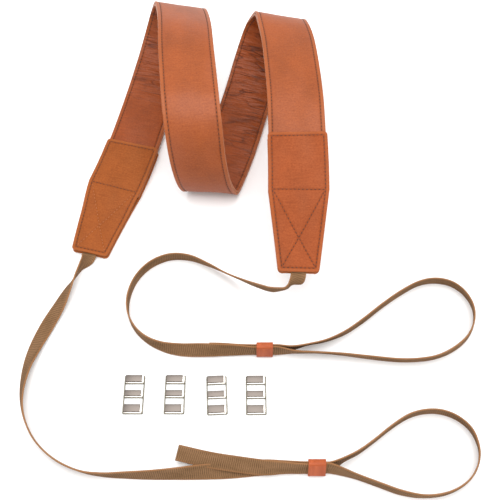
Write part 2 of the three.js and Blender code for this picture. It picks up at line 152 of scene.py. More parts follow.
class Paint:
    """A material under construction: its nodes, its links and its Principled shader."""

    def __init__(self, name, **settings):
        self.material = bpy.data.materials.new(name)
        self.material.use_nodes = True
        self.tree = self.material.node_tree
        self.shader = self.tree.nodes["Principled BSDF"]
        for socket, value in settings.items():
            self.shader.inputs[socket.replace("_", " ")].default_value = value
        self.uv = self.node("ShaderNodeUVMap").outputs["UV"]

    def node(self, kind, inputs=(), **settings):
        made = self.tree.nodes.new(kind)
        for key, value in settings.items():
            setattr(made, key, value)
        for key, value in dict(inputs).items():
            if isinstance(value, bpy.types.NodeSocket):
                self.tree.links.new(value, made.inputs[key])
            else:
                made.inputs[key].default_value = value
        return made

    def wire(self, value, socket):
        self.tree.links.new(value, self.shader.inputs[socket])

    def stretch(self, across, along):
        """The piece's UV, in units of across and along millimetres."""
        scale = (1 / across, 1 / along, 1)
        return self.node("ShaderNodeMapping", {"Vector": self.uv, "Scale": scale}).outputs["Vector"]

    def noise(self, across, along, detail=3.0, roughness=0.55):
        where = self.stretch(across, along)
        values = {"Vector": where, "Scale": 1.0, "Detail": detail, "Roughness": roughness}
        return self.node("ShaderNodeTexNoise", values).outputs["Fac"]

    def lines(self, across, along, width, wander):
        """Thin lines where a stretched noise passes its middle value."""
        where = self.stretch(across, along)
        values = {"Vector": where, "Scale": 1.0, "Detail": 1.0, "Distortion": wander}
        value = self.node("ShaderNodeTexNoise", values).outputs["Fac"]
        from_middle = self.combine(self.combine(value, -0.5), 0.0, "ABSOLUTE")
        return self.ramp(from_middle, 0.0, width, 1.0, 0.0)

    def attribute(self, name):
        return self.node("ShaderNodeAttribute", attribute_name=name).outputs["Fac"]

    def ramp(self, value, start, end, low=0.0, high=1.0):
        values = {"Value": value, "From Min": start, "From Max": end, "To Min": low, "To Max": high}
        return self.node("ShaderNodeMapRange", values).outputs["Result"]

    def mix(self, amount, first, second, blend="MIX"):
        made = self.node("ShaderNodeMix", data_type="RGBA", blend_type=blend)
        for index, value in ((0, amount), (6, first), (7, second)):
            if isinstance(value, bpy.types.NodeSocket):
                self.tree.links.new(value, made.inputs[index])
            else:
                made.inputs[index].default_value = value
        return made.outputs[2]

    def combine(self, first, second, kind="ADD"):
        made = self.node("ShaderNodeMath", {0: first, 1: second}, operation=kind)
        return made.outputs[0]

    def times(self, first, second):
        return self.combine(first, second, "MULTIPLY")

    def bump(self, height, distance, strength=1.0):
        values = {"Height": height, "Distance": distance * MM, "Strength": strength}
        self.wire(self.node("ShaderNodeBump", values).outputs["Normal"], "Normal")


# %% [markdown]
# The leathers
#
# Smooth vegetable-tanned leather is never one colour. The dye gathers in clouds of a few
# centimetres, the hair side leaves faint streaks across, pores and small scuffs break it
# up below a millimetre, and the cut edges are paler than the face. The lining is the same
# hide, softer, and bent inwards at every fold, so it wrinkles across. A wrinkle is a line
# where a stretched noise passes its middle value: that gives long lines that wander, meet
# and part, as real ones do. The crease value painted on the mesh says how strongly they
# show, and the lines are darkened with painted shade, as the grooves of the seams are.
# The end patches are a duller leather, a little different at each end.

# %% Make the leathers
TAN = shade(146, 73, 30)
TAN_ROSE = shade(150, 80, 46)
LINING = shade(138, 66, 26)
LINING_ROSE = shade(142, 76, 46)
CUT_EDGE = shade(164, 96, 52)
# painted shade: the groove along each seam is darkened with this brown
SEAM_GROOVE_SHADE = shade(84, 38, 16)
# painted shade: the lining's wrinkle lines are darkened with this brown
WRINKLE_SHADE = shade(58, 22, 9)
SHADE_BROWN = (0.66, 0.52, 0.40, 1)


def tone(colour, factor):
    """The same colour, darker or lighter."""
    return (*(channel * factor for channel in colour[:3]), 1)


def leather(name, main, rosy, rough, gloss, wrinkled=False):
    """Leather with clouds of dye, streaks, pores, paler cut edges, and painted shade in its seam
    grooves and, when wrinkled, in its wrinkles.
    """
    paint = Paint(name, Roughness=rough, Specular_IOR_Level=gloss)
    clouds = paint.ramp(paint.noise(20, 34, 4.0), 0.34, 0.66)
    rose = paint.ramp(paint.noise(34, 60, 2.0), 0.46, 0.70, 0.0, 0.7)
    streaks = paint.ramp(paint.noise(9, 1.5, 3.0, 0.6), 0.36, 0.70, 0.0, 0.30)
    pores = paint.ramp(paint.noise(1.3, 1.1, 3.0, 0.7), 0.42, 0.68, 0.0, 0.6)
    scuffs = paint.ramp(paint.noise(2.6, 1.4, 4.0, 0.75), 0.56, 0.76, 0.0, 0.6)
    colour = paint.mix(clouds, tone(main, 1.10), tone(main, 0.88))
    colour = paint.mix(rose, colour, rosy)
    colour = paint.mix(streaks, colour, SHADE_BROWN, "MULTIPLY")
    colour = paint.mix(pores, colour, SHADE_BROWN, "MULTIPLY")
    colour = paint.mix(scuffs, colour, tone(main, 1.5))
    # painted shade in the seam grooves, where the seam value is high
    colour = paint.mix(paint.times(paint.attribute("seam"), 0.45), colour, SEAM_GROOVE_SHADE)
    colour = paint.mix(paint.times(paint.attribute("rim"), 0.8), colour, CUT_EDGE)
    cells = {"Vector": paint.stretch(0.8, 0.8), "Scale": 1.0}
    pebble = paint.node("ShaderNodeTexVoronoi", cells, feature="SMOOTH_F1").outputs["Distance"]
    height = paint.times(pebble, 0.05)
    height = paint.combine(height, paint.times(paint.noise(3.0, 3.6, 3.0), 0.16))
    if wrinkled:
        strength = paint.attribute("crease")
        patchy = paint.ramp(paint.noise(16, 12, 2.0), 0.38, 0.62)
        folds = paint.times(paint.lines(44, 9.0, 0.035, 0.4), paint.ramp(patchy, 0, 1, 0.35))
        small = paint.times(paint.lines(26, 4.4, 0.045, 0.6), patchy)
        small = paint.times(small, 0.8)
        # painted shade: the wrinkle lines are darkened as far as the crease value allows
        dark = paint.times(paint.combine(folds, small, "MAXIMUM"), strength)
        colour = paint.mix(paint.times(dark, 0.9), colour, WRINKLE_SHADE)
        waves = paint.times(paint.noise(30, 6.0, 2.0), strength)
        height = paint.combine(height, paint.times(waves, 3.2))
        height = paint.combine(height, paint.times(dark, -0.3))
    paint.wire(colour, "Base Color")
    paint.bump(height, 1.0)
    return paint.material


outer_leather = leather("smooth_leather", TAN, TAN_ROSE, 0.46, 0.26)
lining_leather = leather("lining_leather", LINING, LINING_ROSE, 0.42, 0.2, wrinkled=True)
left_patch_leather = leather(
    "left_patch_leather", shade(142, 76, 32), shade(146, 82, 40), 0.6, 0.12
)
right_patch_leather = leather(
    "right_patch_leather", shade(143, 71, 34), shade(147, 80, 48), 0.6, 0.12
)
print("leathers:", outer_leather.name, lining_leather.name, left_patch_leather.name)

# %% [markdown]
# Thread, webbing and metal
#
# The thread is a dark brown waxed one, and a tan one on the left end's cross. The webbing
# is olive-brown with a rib across it every 1.3 mm: the ribs are modelled, the furrows
# between them are darkened with painted shade, which the twist of the yarns that cross
# them breaks into small dots, and the yarns give a bump. The sliders are nickelled. Their
# faces are satin, their sloped ends and lips are painted near white as a highlight, and
# the thin rails, rods and knobs are painted dark as shade. The table is painted here too,
# with the same helpers.

# %% Make the thread, the webbing and the nickel
RIB_PITCH = 1.3
YARN_ACROSS = 1.1

thread = Paint("thread", Roughness=0.7, Base_Color=shade(58, 30, 18)).material
tan_thread = Paint("tan_thread", Roughness=0.6, Base_Color=shade(160, 96, 52)).material


def woven(name):
    """Ribbed webbing: painted shade in the furrows between ribs, twisted yarns, paler selvedges."""
    paint = Paint(name, Roughness=0.85, Specular_IOR_Level=0.15)
    clouds = paint.ramp(paint.noise(7, 24, 3.0), 0.35, 0.65)
    colour = paint.mix(clouds, shade(132, 99, 70), shade(112, 82, 54))
    waves = {"Vector": paint.stretch(YARN_ACROSS * 20, 1), "Scale": 20.0, "Distortion": 0.6}
    yarns = paint.node("ShaderNodeTexWave", waves, bands_direction="X").outputs["Fac"]
    furrow = paint.ramp(paint.attribute("crease"), 0.30, 0.85)
    # painted shade: the furrows between the ribs are darkened, in dots set by the yarns
    furrow_shade = paint.times(furrow, paint.ramp(yarns, 0.0, 1.0, 0.55, 1.0))
    colour = paint.mix(furrow_shade, colour, shade(34, 21, 12))
    speckle = paint.ramp(paint.noise(0.5, 0.9, 2.0, 0.7), 0.52, 0.75, 0.0, 0.4)
    colour = paint.mix(speckle, colour, shade(160, 128, 92))
    colour = paint.mix(paint.times(paint.attribute("rim"), 0.45), colour, shade(158, 108, 68))
    paint.wire(colour, "Base Color")
    paint.bump(yarns, 0.1, 0.6)
    return paint.material


def metal(name, colour, rough):
    """Nickel with a very fine brushed bump."""
    paint = Paint(name, Metallic=1.0, Roughness=rough, Base_Color=colour)
    paint.bump(paint.noise(2.0, 0.12, 2.0), 0.01, 0.3)
    return paint.material


webbing_weave = woven("ribbed_webbing")
# one nickel in three copies: the near-white one is a painted highlight for the sloped ends and lips,
# the dark one painted shade for the rails, rods and knobs
nickel_face = metal("nickel_face", shade(100, 93, 88), 0.35)
nickel_painted_highlight = metal("nickel_painted_highlight", shade(236, 230, 222), 0.3)
nickel_painted_shade = metal("nickel_painted_shade", shade(112, 107, 94), 0.4)
print("weave and metals:", webbing_weave.name, nickel_face.name, nickel_painted_shade.name)

# %% Paint the table
TABLE_GREY = 0.9
table_colour = (TABLE_GREY, TABLE_GREY, TABLE_GREY, 1)
table_paint = Paint("white_table", Roughness=0.9, Base_Color=table_colour)
table.data.materials.append(table_paint.material)
print("table grey:", TABLE_GREY)

# %% [markdown]
# The routes
#
# Bending a finished 3-D strip with a lattice or a curve modifier is quick, but both let
# the strip stretch and swing round its own axis. Here every piece is modelled flat, in
# millimetres, as a strap maker cuts it, with x across, y along and z up from the leather.
# Then each of its vertices is laid on a route: y picks the place on the route, x goes
# across it and z stands off it. The routes are the ones of the solid model, as rows of a
# few places with the roll or the lean of the strap there. A smooth curve runs through
# the rows.

# %% Write down the routes
LAYER_GAP = 0.3
OUTER_THICK = 1.9
LINING_THICK = 1.8
BAND_WIDTH = 39.2
TAB_THICK = 1.4
TAB_WIDTH = 40.8
TAB_END_WIDTH = 26.6
TAB_TAPER = 57
TAB_LENGTH = 98
TAB_CORNER = 2.5
TAB_SEAM_HOLD = 2
WEB_WIDTH = 10
WEB_THICK = 1.1
WEB_START = 1
WEB_SPACING = 1.5
KEEPER_LENGTH = 11
KEEPER_WALL = 1
KEEPER_CLEAR = 0.3
KEEPER_LEAD = 3.5

BAND_HALF = LAYER_GAP / 2 + OUTER_THICK
TAB_FLAT = BAND_HALF + LAYER_GAP + TAB_THICK

# Rows of the band: x, y, z, roll
BAND_ROWS = [
    (-115.9, -4.5, TAB_FLAT, 0), (-109.5, 22, TAB_FLAT, 0), (-102.4, 48.5, TAB_FLAT, 0),
    (-95.9, 70, TAB_FLAT, 0), (-89.7, 94.5, TAB_FLAT, 0), (-85.3, 116, 3.2, 0),
    (-81, 139, 2.3, 0), (-76.6, 161, 3, 0), (-71.3, 181, 8, 0), (-65.2, 196, 20, 4),
    (-60.1, 199, 34, 7), (-55.6, 192, 48, 8), (-52, 177, 58, 7), (-48.2, 150, 71, 4),
    (-45.7, 123.5, 78.5, 0), (-43.2, 99, 80, 0), (-40.5, 73.5, 80, 0), (-38.2, 55, 69, 0),
    (-36.3, 45.5, 46.5, -2), (-33, 42.5, 22.5, -3), (-29, 48, 7, -2), (-23.7, 62, 2.9, 0),
    (-14.7, 90, 2.3, 0), (-6.5, 121, 2.3, 0), (0.8, 150, 3, 0), (6.6, 171, 8, 0),
    (13.2, 186, 20, 4), (19.2, 188.5, 33, 8), (23.2, 182, 47, 9), (25.5, 167, 55.5, 6),
    (28.3, 145, 61.5, 2), (30.1, 118, 66, 0), (31.7, 86, 68, 0), (32.2, 57, 65.5, 0),
    (32.6, 35, 61.5, 0), (32.5, 14, 57, 0), (32.1, -13.5, 51.5, 0), (31.4, -41, 47, 0),
]

# Rows of the webbings outside the patches: x, y, z, lean
LEFT_WEB_IN = [
    (-116.3, -6.9, 2.7, 12), (-117.2, -10.3, 4.3, 50), (-120.2, -15.7, 5.3, 88),
    (-123.9, -24.5, 5.3, 108), (-127.3, -32.7, 5, 131), (-132.4, -45, 3.2, 158),
    (-139.2, -59.7, 1.9, 176), (-145.1, -75.4, 2.5, 160), (-148.5, -90.6, 4.1, 137),
    (-149.2, -106.9, 5, 118), (-146.6, -120.9, 5.2, 104), (-140.4, -133.9, 5.1, 96),
    (-131.5, -144.3, 5.1, 91), (-119.8, -152.6, 5.1, 87), (-105.5, -158.3, 5.1, 84),
    (-91.4, -160.4, 5.1, 91), (-76, -160.6, 5.2, 102), (-61, -160.4, 5, 112),
    (-46, -159.6, 4.6, 124), (-30, -158.4, 3.5, 144), (-12, -157.2, 2.4, 160),
    (6, -155.6, 2.5, 159), (20, -155.6, 4.8, 131),
]
LEFT_WEB_LOOP = [
    (58.5, -151.4, 5.9, 95), (68.6, -146.3, 5.4, 93), (79.1, -139.1, 5.3, 92),
    (90.5, -130.6, 5.2, 93), (101.8, -123.7, 5.1, 93), (113, -120.6, 5.1, 91),
    (124, -121, 5.1, 89), (134.2, -125.4, 5.1, 85), (141.8, -133.6, 5.1, 81),
    (144.5, -145.9, 5.1, 77), (141.1, -156.9, 5.1, 81), (133.3, -165.6, 5.1, 88),
    (121.2, -171.5, 5.1, 90), (107, -173.3, 5.1, 91), (93, -171.1, 5.1, 86),
    (79, -166.2, 5.2, 86), (65, -161.3, 5.7, 84),
]
LEFT_WEB_TAIL = [
    (20, -156.6, 7, 54), (8, -156.2, 6.2, 30), (-8, -154.1, 5.6, 18), (-25, -151.6, 6, 14),
    (-45.8, -147, 6.2, 8),
]
RIGHT_WEB_IN = [
    (31.1, -43.2, 44.5, 8), (30.3, -44.7, 42.8, 40), (28.6, -45.7, 40.8, 82),
    (26, -46.4, 38.4, 114), (22, -46.8, 35, 112), (16, -45.3, 30.2, 107),
    (10.5, -42.4, 25.5, 104), (0.3, -35.2, 18, 108), (-8.6, -28.4, 12, 113),
    (-17, -22.4, 8, 112), (-29, -15, 5.8, 103), (-43, -8.9, 5.2, 93), (-57, -8.1, 5.1, 89),
    (-70.1, -13.8, 5.1, 88), (-79.6, -24.4, 5.1, 89), (-84.4, -38, 5.1, 89),
    (-84.1, -51, 5.1, 91), (-79.3, -61.9, 5.1, 92), (-71, -70.3, 5.1, 96),
    (-60, -75.8, 5.1, 108), (-47, -78.2, 4.6, 127), (-33, -78.6, 5, 135),
    (-18, -78.8, 5.7, 122), (-8, -79, 6.1, 112),
]
RIGHT_WEB_LOOP = [
    (30, -80.2, 6, 80), (46, -80.5, 5.6, 74), (62, -81.6, 5.3, 77), (80, -83.8, 5.2, 81),
    (98, -85.7, 5.2, 82), (112, -85.6, 5.2, 83), (125, -83.4, 5.2, 86), (137, -77.9, 5.1, 92),
    (147.1, -69.6, 5.1, 95), (153.1, -59, 5.1, 99), (154.3, -47.8, 5.1, 102),
    (150.2, -37.3, 5.1, 101), (142.1, -29.8, 5.1, 98), (131, -27, 5.1, 94),
    (119, -29, 5.1, 93), (105.8, -36.1, 5.1, 90), (91.6, -46.1, 5.1, 90),
    (78, -56.9, 5.1, 90), (65, -65.9, 5.2, 94), (52, -71.7, 5.3, 101), (40, -74.6, 5.6, 105),
    (28.5, -77.5, 6, 94),
]
RIGHT_WEB_TAIL = [
    (-8, -77.75, 5.7, 76), (-18, -77.6, 4.9, 62), (-27, -77.7, 4.3, 50),
]

# Keepers: x, y, z, lean
LEFT_KEEPER = (41.5, -156.4, 6.7, 115)
RIGHT_KEEPER = (9.8, -78.9, 6.6, 102)
print("rows of the band:", len(BAND_ROWS))

# %% [markdown]
# A route works out, for any length along it, the point there and two directions: across
# the strap and out of its upper face. The band's across direction stays as near to the
# model's X axis as its run allows, which is what a flat leather does when it is coiled
# over a roller. A webbing's across direction is level, and then turned by its lean.

# %% Turn rows into routes
SAMPLES_PER_ROW = 16
UP = np.array([0.0, 0.0, 1.0])
RIGHT = np.array([1.0, 0.0, 0.0])


def unit(vectors):
    return vectors / np.linalg.norm(vectors, axis=-1, keepdims=True)


def smooth_rows(rows):
    """A Catmull-Rom curve through the rows, with SAMPLES_PER_ROW steps between two."""
    rows = np.array(rows, float)
    ends = np.vstack([2 * rows[0] - rows[1], rows, 2 * rows[-1] - rows[-2]])
    t = np.linspace(0, 1, SAMPLES_PER_ROW, endpoint=False)[:, None]
    spans = []
    for a, b, c, d in zip(ends, ends[1:], ends[2:], ends[3:]):
        cubic = (3 * b - a - 3 * c + d) * t ** 3
        spans.append(0.5 * (2 * b + (c - a) * t + (2 * a - 5 * b + 4 * c - d) * t ** 2 + cubic))
    return np.vstack([*spans, rows[-1:]])


class Route:
    """The middle line of a strap, with the strap's own directions along it."""

    def __init__(self, rows, banded):
        samples = smooth_rows(rows)
        self.points = samples[:, :3]
        along = unit(np.gradient(self.points, axis=0))
        if banded:
            level = unit(RIGHT - along * (along @ RIGHT)[:, None])
        else:
            level = unit(np.cross(along, UP))
        turn = np.radians(samples[:, 3])[:, None]
        self.across = level * np.cos(turn) + np.cross(level, along) * np.sin(turn)
        self.out = np.cross(self.across, along)
        steps = np.linalg.norm(np.diff(self.points, axis=0), axis=1)
        self.lengths = np.concatenate([[0], np.cumsum(steps)])
        self.length = self.lengths[-1]

    def at(self, s):
        """Point, across and out at the lengths s, in millimetres."""
        found = [
            np.stack([np.interp(s, self.lengths, values[:, k]) for k in range(3)], axis=-1)
            for values in (self.points, self.across, self.out)
        ]
        return found[0], unit(found[1]), unit(found[2])

    def place(self, flat):
        """Flat millimetres (across, along, out) laid on the route, in metres."""
        point, across, out = self.at(flat[:, 1])
        laid = point + across * flat[:, :1] + out * flat[:, 2:]
        return (laid + np.array(shift)) * MM


band = Route(BAND_ROWS, banded=True)
BAND_FROM = TAB_TAPER - TAB_SEAM_HOLD
BAND_TO = band.length - BAND_FROM
print("band, end to end of its patches: %.0f mm" % band.length)

# %% [markdown]
# The webbings start between the patches, so their first rows follow the band's own
# route. In a keeper the two passes of one webbing lie against each other: their rows
# stand 1.5 mm apart and share the keeper's lean.

# %% Make the webbing routes
WEB_MIDDLE = -BAND_HALF + LAYER_GAP / 2 + WEB_THICK / 2


def rows_in_tab(side):
    """Rows of a webbing between its two patches. side is 1 at the left end, -1 at the right."""
    away = np.array([BAND_FROM - WEB_START, 40, 24, 10, 1])
    point, _, out = band.at(away if side > 0 else band.length - away)
    place = point + out * side * WEB_MIDDLE
    return [(*row, 0) for row in place]


def rows_in_keeper(keeper, side):
    """Rows of a webbing through a keeper. side 1 is the pass on the far side."""
    x, y, z, lean = keeper
    out = np.array([0, math.sin(math.radians(lean)), math.cos(math.radians(lean))])
    beyond = KEEPER_LENGTH / 2 + KEEPER_LEAD
    middle = np.array([x, y, z]) + out * side * WEB_SPACING / 2
    return [(*(middle + RIGHT * d), lean) for d in (-beyond, -beyond / 3, beyond / 3, beyond)]


def rows_back(keeper, side):
    return [(*row[:3], 180 - row[3]) for row in reversed(rows_in_keeper(keeper, side))]


left_web = Route([
    *rows_in_tab(1), *LEFT_WEB_IN, *rows_in_keeper(LEFT_KEEPER, 1),
    *LEFT_WEB_LOOP, *rows_back(LEFT_KEEPER, -1), *LEFT_WEB_TAIL,
], banded=False)
right_web = Route([
    *rows_in_tab(-1), *RIGHT_WEB_IN, *rows_in_keeper(RIGHT_KEEPER, -1),
    *RIGHT_WEB_LOOP, *rows_back(RIGHT_KEEPER, 1), *RIGHT_WEB_TAIL,
], banded=False)
print("webbings: %.0f and %.0f mm" % (left_web.length, right_web.length))

# %% [markdown]
# A strip of leather or webbing
#
# Boxes with a bevel look machined. A cut strap has a soft rounded edge, a low crown, and
# a face that is pulled down where it is sewn. So a strip starts as a grid that is rolled
# into a closed sleeve: its columns go round the section, across the face, round one
# edge, back under and round the other edge, and its rows go along the strap. A relief
# function then raises or lowers the face, and paints the seam, crease and rim values at
# the same time.

# %% Define the strip
BEND = np.radians([67.5, 45, 22.5, 0])  # steps round a quarter of a soft edge


def spread(start, end, step):
    """Even places from start to end, about step apart."""
    count = max(int(round((end - start) / step)), 1)
    return np.linspace(start, end, count + 1)


def section_of(face, back, thick, edge):
    """The closed section of a strip, as rows of four values.

    They are the place between the edges from -1 to 1, the offset into the edge, the
    height, and the share that the face's relief has there.
    """
    top = thick - edge
    loop = [(t, 0, thick, 1) for t in face]
    loop += [(1, edge * math.cos(a), top + edge * math.sin(a), math.sin(a)) for a in BEND]
    loop += [(1, edge * math.cos(a), edge - edge * math.sin(a), 0) for a in BEND[::-1]]
    loop += [(t, 0, 0, 0) for t in reversed(back)]
    loop += [(-1, -edge * math.cos(a), edge - edge * math.sin(a), 0) for a in BEND]
    loop += [(-1, -edge * math.cos(a), top + edge * math.sin(a), math.sin(a)) for a in BEND[::-1]]
    return np.array(loop)


def finish_piece(bm, name, material, nodes):
    """Turns a bmesh into a smooth shaded piece that stands for the named solid nodes."""
    mesh = bpy.data.meshes.new(name)
    bm.to_mesh(mesh)
    bm.free()
    for polygon in mesh.polygons:
        polygon.use_smooth = True
    piece = bpy.data.objects.new(name, mesh)
    mesh.materials.append(material)
    bpy.context.collection.objects.link(piece)
    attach(piece, BODY)
    if nodes:
        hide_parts(*nodes)
    print(name, "faces:", len(mesh.polygons))
    return piece


def strip(lengths, section, half_at, relief, place, round_ends=0.0):
    """A closed strip. place lays flat millimetres, relief gives height, seam, crease and rim."""
    columns = len(section)
    bm = bmesh.new()
    bmesh.ops.create_grid(bm, x_segments=columns, y_segments=len(lengths) - 1, size=1)
    corners = np.array([v.co for v in bm.verts])
    column = np.rint((corners[:, 0] + 1) / 2 * columns).astype(int) % columns
    row = np.rint((corners[:, 1] + 1) / 2 * (len(lengths) - 1)).astype(int)
    s = np.asarray(lengths)[row]
    t, offset, height, share = section[column].T
    if round_ends:
        to_end = np.minimum(s - s.min(), s.max() - s)
        into = np.clip(1 - to_end / round_ends, 0, 1)
        inset = round_ends * (1 - np.sqrt(1 - into ** 2))
        middle = section[:, 2].mean()
        height = height + np.sign(middle - height) * inset
    else:
        inset = 0
    edge = section[:, 1].max()
    across = t * (half_at(s) - edge - inset) + offset
    rise, seam, crease, rim = relief(across, s)
    laid = place(np.stack([across, s, height + rise * share], axis=1))
    uv_layer = bm.loops.layers.uv.new("flat")
    layers = [bm.verts.layers.float.new(key) for key in ("seam", "crease", "rim")]
    bm.verts.ensure_lookup_table()
    facing = np.abs(share)
    edges_too = np.maximum(rim * facing, 1 - facing)
    painted = np.stack([seam * facing, crease * facing, edges_too], axis=1)
    for face in bm.faces:
        for loop in face.loops:
            index = loop.vert.index
            loop[uv_layer].uv = (across[index], s[index])
    for index, vert in enumerate(bm.verts):
        vert.co = laid[index]
        for layer, value in zip(layers, painted[index]):
            vert[layer] = value
    bmesh.ops.remove_doubles(bm, verts=bm.verts[:], dist=1e-7)
    bmesh.ops.holes_fill(bm, edges=[e for e in bm.edges if e.is_boundary], sides=0)
    bmesh.ops.recalc_face_normals(bm, faces=bm.faces[:])
    return bm


# %% [markdown]
# The two leathers of the band
#
# Each face has a stitched line about 3 mm inside both edges. The seam pulls a shallow
# groove that is darkened with painted shade, the rim outside it swells and is paler, and
# the field between the seams is slightly crowned. The lining is bent inwards at every
# fold, so it wrinkles there: a wrinkle runs across the strap, wanders a little and fades
# out. The swells between the wrinkles are modelled here with stretched noise, and the
# fine lines are painted shade with a bump in the leather's paint. How strongly both show
# along the band is a short list of stretches.

# %% Model the band
SEAM_INSET = 2.8
RIM_SHARE = 0.3  # how much of the cut edge's paler colour the flat rim shows
SEAM_WIDTH = 0.55
SEAM_DEPTH = 0.34
CROWN_DROP = 0.28  # keeps the crown inside the solid leather
HALF_BAND = BAND_WIDTH / 2
CREASED = [
    # middle along the band, reach, strength
    (165, 30, 0.55), (225, 45, 0.9), (330, 40, 0.4), (430, 60, 0.7), (520, 40, 0.45),
    (580, 42, 1.0), (625, 45, 1.0), (690, 40, 0.5),
]


def bell(distance, width):
    return np.exp(-((distance / width) ** 2))


def band_seams(across, s):
    """Groove, swollen rims and crown of a sewn band."""
    from_seam = HALF_BAND - SEAM_INSET - np.abs(across)
    seam = bell(from_seam, SEAM_WIDTH)
    rim = np.clip(-from_seam / 0.9, 0, 1)
    crown = 0.16 * np.clip(from_seam / 6, 0, 1) + 0.12 * rim - CROWN_DROP
    return crown - SEAM_DEPTH * seam, seam, rim * RIM_SHARE


def noise_at(across, s, across_size, along_size, seed):
    return np.array([
        noise.noise(Vector((x / across_size, y / along_size, seed)))
        for x, y in zip(across, s)
    ])


def outer_relief(across, s):
    rise, seam, rim = band_seams(across, s)
    waves = 0.10 * noise_at(across, s, 16, 30, 3.1)
    return rise + waves, seam, np.zeros_like(s), rim


def lining_relief(across, s):
    rise, seam, rim = band_seams(across, s)
    strength = np.clip(sum(k * bell(s - middle, reach) for middle, reach, k in CREASED), 0.15, 1)
    drift = 7 * noise_at(across, s, 15, 22, 1.3)
    swell = 0.55 * strength * noise_at(across, s + drift, 30, 7, 4.4)
    return rise + swell * (1 - seam), seam, strength * (1 - rim), rim


def band_half(s):
    return np.full_like(s, HALF_BAND)


def laid_on_band(side, base):
    """Lays flat pieces on the band's route, standing out from it on one side."""
    return lambda flat: band.place(
        np.stack([flat[:, 0], flat[:, 1], side * (base + flat[:, 2])], axis=1)
    )


edge_columns = 1 - np.array([0, 0.6, 1.1, 1.6, 1.9, 2.2, 2.5, 2.9, 3.4, 4.2, 5.2]) / HALF_BAND
face_columns = np.concatenate([-edge_columns, spread(-0.66, 0.66, 0.075), edge_columns[::-1]])
back_columns = spread(-1, 1, 0.4)
BAND_EDGE = 0.55

bm = strip(
    spread(BAND_FROM, BAND_TO, 2.0),
    section_of(face_columns, back_columns, OUTER_THICK, BAND_EDGE),
    band_half, outer_relief, laid_on_band(-1, LAYER_GAP / 2),
)
finish_piece(bm, "band_outer_leather", outer_leather, ["strap_leather"])
bm = strip(
    spread(BAND_FROM, BAND_TO, 0.9),
    section_of(face_columns, back_columns, LINING_THICK, BAND_EDGE),
    band_half, lining_relief, laid_on_band(1, LAYER_GAP / 2),
)
finish_piece(bm, "band_lining_leather", lining_leather, ["strap_lining"])

# %% [markdown]
# The end patches
#
# Each end is closed by a patch on both faces, cut to a taper and sewn all round, once
# across where the band ends, and with a cross over the webbing. The patch on the visible
# face steps down over the band's end. Seams are straight lines in the flat patch, so the
# groove is a matter of the distance to the nearest of them.

# %% Define the patch shape
PATCH_SEAM = 2.7
PATCH_SEAM_DEPTH = 0.30
PATCH_PUFF = 0.38  # how far the leather swells up between its seams
PATCH_EDGE = 0.5
DROP_FROM = BAND_FROM - 1
DRAPE = 24  # the real leather eases down over this length
WEB_FACE = -BAND_HALF + LAYER_GAP + WEB_THICK


def half_patch(s):
    """Half the patch's width at a distance from its webbing end."""
    taper = np.interp(s, [0, TAB_TAPER], [TAB_END_WIDTH, TAB_WIDTH]) / 2
    to_end = np.minimum(s, TAB_LENGTH - s)
    in_corner = np.clip(TAB_CORNER - to_end, 0, TAB_CORNER)
    return taper - (TAB_CORNER - np.sqrt(TAB_CORNER ** 2 - in_corner ** 2))


def face_base(s):
    """How far the visible patch's under side stands off the route."""
    t = np.clip((DROP_FROM - s) / DRAPE, 0, 1)
    return BAND_HALF + (WEB_FACE - BAND_HALF) * t * t * (3 - 2 * t) + LAYER_GAP


def seam_corner(s):
    return float(np.interp(s, [0, TAB_TAPER], [TAB_END_WIDTH, TAB_WIDTH]) / 2 - PATCH_SEAM)


LOW_SEAM, MID_SEAM, TOP_SEAM = 2.7, TAB_TAPER - 0.7, TAB_LENGTH - 2.7
low_corner = seam_corner(LOW_SEAM)
top_corner = seam_corner(TAB_TAPER)
FRAME_LINES = [
    # from (across, along) to (across, along)
    ((-low_corner, LOW_SEAM), (low_corner, LOW_SEAM)),
    ((-top_corner, MID_SEAM), (top_corner, MID_SEAM)),
    ((-top_corner, TOP_SEAM), (top_corner, TOP_SEAM)),
]
for side in (-1, 1):
    FRAME_LINES.append(((side * low_corner, LOW_SEAM), (side * top_corner, MID_SEAM)))
    FRAME_LINES.append(((side * top_corner, MID_SEAM), (side * top_corner, TOP_SEAM)))
CROSS_LINES = [
    ((side * (low_corner - 0.5), LOW_SEAM + 1), (-side * (top_corner - 1), MID_SEAM - 1.5))
    for side in (-1, 1)
]


def distance_to(line, across, s):
    """Distance of flat points to a straight line between two points."""
    (ax, ay), (bx, by) = line
    dx, dy = bx - ax, by - ay
    part = np.clip(((across - ax) * dx + (s - ay) * dy) / (dx * dx + dy * dy), 0, 1)
    return np.hypot(across - ax - part * dx, s - ay - part * dy)


def patch_relief(cross_seam):
    """Relief of a sewn patch. cross_seam is how strongly painted shade darkens the cross's groove.
    """

    def relief(across, s):
        frame_gap = np.min([distance_to(line, across, s) for line in FRAME_LINES], axis=0)
        cross_gap = np.min([distance_to(line, across, s) for line in CROSS_LINES], axis=0)
        gap = np.minimum(frame_gap, cross_gap)
        groove = PATCH_SEAM_DEPTH * bell(gap, 0.6)
        puff = PATCH_PUFF * (1 - np.exp(-gap / 2.6))
        to_edge = np.minimum(half_patch(s) - np.abs(across), np.minimum(s, TAB_LENGTH - s))
        rim = np.clip((PATCH_SEAM - 0.5 - to_edge) / 0.9, 0, 1)
        waves = 0.12 * noise_at(across, s, 13, 17, 6.6)
        seam = np.maximum(bell(frame_gap, 0.5), cross_seam * bell(cross_gap, 0.5))
        return puff * (1 - rim * 0.5) - groove + waves, seam, np.zeros_like(s), rim * RIM_SHARE

    return relief


def flat_relief(across, s):
    """The patch that lies on the table is pressed flat, with its seams drawn in."""
    rise, seam, crease, rim = patch_relief(1.0)(across, s)
    return np.minimum(rise - PATCH_PUFF, 0), seam, crease, rim


